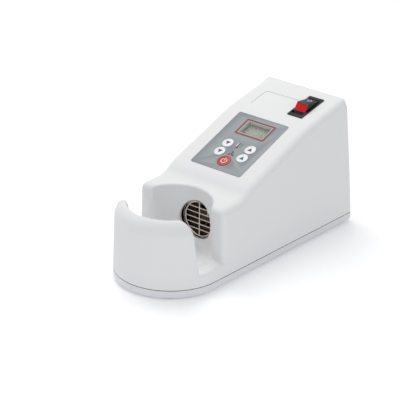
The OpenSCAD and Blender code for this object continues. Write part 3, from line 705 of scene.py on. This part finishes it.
P0, P1 = OVERLAY_TOP - 0.01, OVERLAY_TOP + 0.03
FRAME_OUTER = rounded_box(-15.5, 49.6, 19.1, 71.6, 1.2)
FRAME_INNER = rounded_box(-13.6, 51.5, 17.2, 69.7, 0.6)
BORDER_INNER = rounded_box(-11.6, 52.75, 15.6, 68.45, 0.5)
printed("print_frame", [ring_shape(FRAME_OUTER, FRAME_INNER, P0, P1)], PRINT_RED)
printed("print_border", [ring_shape(FRAME_INNER, BORDER_INNER, P0, P1)], PALE)
printed(
    "print_power_ring",
    [ring_shape(circle(*KEY_CENTRES[4], 8.0, 64), circle(*KEY_CENTRES[4], 7.1, 64), P0, P1)],
    PALE,
)


def bar(x0, y0, x1, y1, w):
    """A printed stroke from one point to another."""
    d = Vector((x1 - x0, y1 - y0)).normalized() * (w / 2)
    n = Vector((-d.y, d.x))
    return [(x0 - n.x, y0 - n.y), (x1 - n.x, y1 - n.y), (x1 + n.x, y1 + n.y), (x0 + n.x, y0 + n.y)]


def thermometer(cx, cy):
    shapes = [
        prism(circle(cx - 1.2, cy - 1.9, 1.1, 20), P0, P1),
        prism(rounded_box(cx - 1.65, cy - 1.2, cx - 0.75, cy + 2.9, 0.4, 4), P0, P1),
    ]
    for k in range(3):
        y = cy - 0.4 + k * 1.3
        shapes.append(prism(bar(cx + 0.2, y, cx + 1.9, y, 0.45), P0, P1))
    return shapes


def enlarged(shapes, cx, cy, k):
    """The shapes drawn k times as large about (cx, cy)."""
    return [([(cx + (x - cx) * k, cy + (y - cy) * k, z) for x, y, z in p], f) for p, f in shapes]


def fan_symbol(cx, cy):
    shapes = [prism(circle(cx, cy, 0.65, 16), P0, P1)]
    for k in range(3):
        a = math.radians(90 + 120 * k)
        c = (cx + 1.75 * math.cos(a), cy + 1.75 * math.sin(a))
        lobe = []
        for t in range(14):
            b = 2 * math.pi * t / 14
            u, v = 1.05 * math.cos(b), 0.62 * math.sin(b)
            turn = a + 0.35
            along = u * math.cos(turn) - v * math.sin(turn)
            across = u * math.sin(turn) + v * math.cos(turn)
            lobe.append((c[0] + along, c[1] + across))
        shapes.append(prism(lobe, P0, P1))
    return shapes


HEAT_ICON, FAN_ICON, ICON_SCALE = (2.0, 35.8), (1.6, 23.8), 1.35
heat_icon = enlarged(thermometer(*HEAT_ICON), *HEAT_ICON, ICON_SCALE)
fan_icon = enlarged(fan_symbol(*FAN_ICON), *FAN_ICON, ICON_SCALE)
printed("print_heat_icon", heat_icon, PRINT_DARK)
printed("print_heat_mark", [prism(bar(-0.9, 33.0, -0.9, 38.8, 0.7), P0, P1)], WHITE_MARK)
printed("print_fan_icon", fan_icon, PRINT_DARK)

# ---- Keys ----

KEY_NAMES = ["key_temp_down", "key_temp_up", "key_fan_down", "key_fan_up", "key_power"]
KEY_TOP = 0.7


def arrow(cx, cy, up):
    s = 1 if up else -1
    pts = [(cx - 2.6, cy - 1.9 * s), (cx + 2.6, cy - 1.9 * s), (cx, cy + 2.4 * s)]
    return pts if up else pts[::-1]


for i, key in enumerate(KEY_NAMES):
    cap = from_node(key, key.replace("key_", "cap_"))
    bevel(cap, 0.28, 3, 40)
    slot = "key_red" if key == "key_power" else "key_white"
    finish_piece(cap, key + "_cap", slot, KEY_RED if key == "key_power" else KEY_WHITE)
    cx, cy = KEY_CENTRES[i]
    k0, k1 = KEY_TOP - 0.02, KEY_TOP + 0.03
    if key == "key_power":
        outer = circle(cx, cy - 0.1, 3.3, 40, 125, 415)
        inner = circle(cx, cy - 0.1, 2.5, 40, 125, 415)
        glyph = [
            prism(outer + inner[::-1], k0, k1),
            prism(bar(cx, cy + 0.2, cx, cy + 3.9, 0.85), k0, k1),
        ]
        printed("glyph_power", glyph, PRINT_CREAM, PANEL, key + "_cap", slot)
    else:
        tone = PRINT_MAROON if i < 2 else PRINT_TEAL
        glyph = [prism(arrow(cx, cy, i % 2 == 1), k0, k1)]
        printed("glyph_" + key[4:], glyph, tone, PANEL, key + "_cap", slot)

# ---- Display ----

lcd = from_node("lcd_module", "lcd")
bevel(lcd, 0.15, 2, 50)
finish_piece(lcd, "case", "lcd_glass", LCD)


SEGMENT_N0, SEGMENT_N1 = -4.71, -4.67


def digit(cx, cy, h, w):
    """Seven faint segments."""
    t = 0.55
    g = 0.25
    x0, x1 = cx - w / 2, cx + w / 2
    y0, y1, y2 = cy - h / 2, cy, cy + h / 2
    strokes = [
        (x0 + g, y0, x1 - g, y0),
        (x0 + g, y1, x1 - g, y1),
        (x0 + g, y2, x1 - g, y2),
        (x0, y0 + g, x0, y1 - g),
        (x1, y0 + g, x1, y1 - g),
        (x0, y1 + g, x0, y2 - g),
        (x1, y1 + g, x1, y2 - g),
    ]
    return [prism(bar(*s, t), SEGMENT_N0, SEGMENT_N1) for s in strokes]


segments = []
for dx in (-8.2, -3.4, 3.4, 8.2):
    segments += digit(2.0 + dx, 60.6, 7.0, 3.4)
printed("lcd_segments", segments, LCD_DARK, PANEL, "case", "lcd_glass")

# ---- Rocker switch ----

body = from_node("switch_body", "switch_bezel")
bevel(body, 0.35, 3, 50)
finish_piece(body, "case", "black_plastic", BLACK)

PIVOT_DROP, REST_TILT = 3.0, math.radians(8)
ROCKER_HALF, ROCKER_END = 12.6, 3.2
RIDGE_Y, RIDGE_H = -1.7, 10.1


def rocker_profile():
    """Side outline of the rocker about its pivot, with a rounded ridge."""
    top = []
    for k in range(41):
        y = -ROCKER_HALF + 2 * ROCKER_HALF * k / 40
        drop = RIDGE_H - ROCKER_END
        front = (RIDGE_Y - y) * drop / (ROCKER_HALF + RIDGE_Y)
        rear = (y - RIDGE_Y) * drop / (ROCKER_HALF - RIDGE_Y)
        top.append((y, RIDGE_H - float(soft_max(front, rear, 0.8))))
    return [(-11.8, -2.2), (-3, -4.5), (3, -4.5), (11.8, -2.2)] + top[::-1]


def build_rocker():
    outline = rocker_profile()
    half_w = 6.65
    n = len(outline)
    points = [(-half_w, y, z) for y, z in outline] + [(half_w, y, z) for y, z in outline]
    faces = [tuple(range(n))[::-1], tuple(range(n, 2 * n))]
    faces += [(i, (i + 1) % n, (i + 1) % n + n, i + n) for i in range(n)]
    pivot = SWITCH @ Matrix.Translation((0, 0, -PIVOT_DROP)) @ Matrix.Rotation(REST_TILT, 4, "X")
    obj = metre_object("rocker_cap", placed((points, faces), pivot))
    bevel(obj, 0.22, 3, 40)
    inv = pivot.inverted()
    for m in (RED_CLEAR, BLACK_GLOSS):
        obj.data.materials.append(m)
    for poly in obj.data.polygons:
        at = inv @ poly.center
        lens = -8.6 < at.y < RIDGE_Y - 0.6 and abs(at.x) < 6.5 and at.z > 3.5
        poly.material_index = 0 if lens else 1
    return obj, pivot


rocker, pivot = build_rocker()
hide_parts("rocker")
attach(rocker, "rocker_body")


def rocker_mark():
    slope = math.atan2(RIDGE_H - ROCKER_END, ROCKER_HALF - RIDGE_Y)
    along = 7.7
    height = RIDGE_H - (along - RIDGE_Y) * math.tan(slope)
    place = pivot @ Matrix.Translation((0, along, height)) @ Matrix.Rotation(-slope, 4, "X")
    outer, inner = circle(0, 0, 2.3, 32), circle(0, 0, 1.75, 32)
    ring = [ring_shape(outer, inner, -0.1, 0.08)]
    return printed("rocker_mark", ring, WHITE_MARK, place, "rocker_body", "rocker_red")


rocker_mark()

# ---- Rear pieces ----

for node, width, mat, slot in (
    ("power_inlet", 0.5, BLACK, "black_plastic"),
    ("fuse_holder", 0.35, BLACK, "black_plastic"),
):
    piece = from_node(node, node + "_piece")
    bevel(piece, width, 3, 50)
    finish_piece(piece, "case", slot, mat)

# ---- CAD pieces shown as they are ----

LOOKS = {
    "rubber_feet": RUBBER,
    "case_screws": STEEL,
    "display_window": CLEAR,
    "control_pcb": BOARD,
    "pcb_screws": STEEL,
    "tact_switches": BLACK,
    "outlet_tube": CHROME,
    "outlet_grille": WIRE,
    "mica_sleeve": MICA,
    "mica_former": MICA,
    "heater_coil": HEATER,
    "thermal_cutout": STEEL,
    "temp_probe": WIRE,
    "heater_bracket": STEEL,
    "air_duct": DUCT,
    "duct_screws": STEEL,
    "blower_housing": DUCT,
    "impeller": WHEEL,
    "fan_motor": STEEL,
    "motor_screws": STEEL,
    "power_board": BOARD,
    "transformer": YELLOW,
    "triac_heatsink": HEATSINK,
    "inlet_pins": BRASS,
    "inlet_screws": STEEL,
}
for node, mat in LOOKS.items():
    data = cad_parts[node].data
    data.materials.clear()
    data.materials.append(mat)
    data.polygons.foreach_set("material_index", [0] * len(data.polygons))

# ---- Stage: pale floor, studio light and the photograph's camera ----


def build_floor():
    size, back = 3.0, 3.2
    mesh = bpy.data.meshes.new("floor")
    corners = [(-size, -size, 0), (size, -size, 0), (size, back, 0), (-size, back, 0)]
    mesh.from_pydata(corners, [], [(0, 1, 2, 3)])
    obj = link("floor", mesh)
    mat, tree, bsdf = new_material("floor_paper")
    stops = [(0.3, (0.93, 0.93, 0.93)), (0.7, (0.95, 0.95, 0.95))]
    tone = ramp(tree, noise(tree, 2.0, 3.0).outputs["Fac"], stops)
    tree.links.new(tone.outputs["Color"], bsdf.inputs["Base Color"])
    bsdf.inputs["Roughness"].default_value = 0.9
    bsdf.inputs["Emission Color"].default_value = (1, 1, 1, 1)
    bsdf.inputs["Emission Strength"].default_value = 0.16
    obj.data.materials.append(mat)


def area_light(name, place, target, size, power, color=(1, 1, 1)):
    lamp = bpy.data.lights.new(name, "AREA")
    lamp.shape = "RECTANGLE"
    lamp.size, lamp.size_y = size
    lamp.energy = power
    lamp.color = color
    obj = link(name, lamp)
    obj.location = place
    obj.rotation_mode = "QUATERNION"
    obj.rotation_quaternion = (Vector(target) - Vector(place)).to_track_quat("-Z", "Y")
    return obj


def build_light():
    world = bpy.data.worlds.new("studio")
    world.use_nodes = True
    background = world.node_tree.nodes["Background"]
    background.inputs["Color"].default_value = (0.95, 0.965, 1.0, 1)
    background.inputs["Strength"].default_value = 0.48
    bpy.context.scene.world = world
    area_light("key", (-0.5, 0.25, 1.3), (0, 0, 0.05), (1.0, 1.0), 10.4, (1.0, 0.99, 0.97))
    area_light("fill", (-1.2, -1.0, 0.7), (0, 0, 0.05), (1.0, 0.8), 0.9)
    area_light("top", (0.1, -1.1, 1.3), (0, 0, 0.05), (0.8, 0.8), 3.0, (1.0, 0.99, 0.98))
    area_light("side", (1.4, -0.3, 0.7), (0, 0, 0.05), (0.8, 0.8), 2.8, (0.97, 0.98, 1.0))


def build_camera():
    a, e, roll = math.radians(40.11), math.radians(24.34), math.radians(0.79)
    distance = 1603.7
    forward = Vector((-math.sin(a) * math.cos(e), math.cos(a) * math.cos(e), -math.sin(e)))
    right = Vector((math.cos(a), math.sin(a), 0))
    up = right.cross(forward)
    x_axis = right * math.cos(roll) + up * math.sin(roll)
    y_axis = up * math.cos(roll) - right * math.sin(roll)
    target = Vector(to_frame([(0.0, 115.5, 42.0)])[0])
    cam = bpy.data.cameras.new("camera")
    cam.sensor_width = 36.0
    cam.lens = 155.22
    cam.shift_x, cam.shift_y = -0.0396, 0.02535
    cam.clip_start, cam.clip_end = 0.05, 20.0
    obj = link("camera", cam)
    turn = Matrix((x_axis, y_axis, -forward)).transposed().to_4x4()
    obj.matrix_world = Matrix.Translation(target - forward * distance * MM) @ turn
    bpy.context.scene.camera = obj


build_floor()
build_light()
build_camera()
bpy.context.scene.view_settings.view_transform = "Standard"
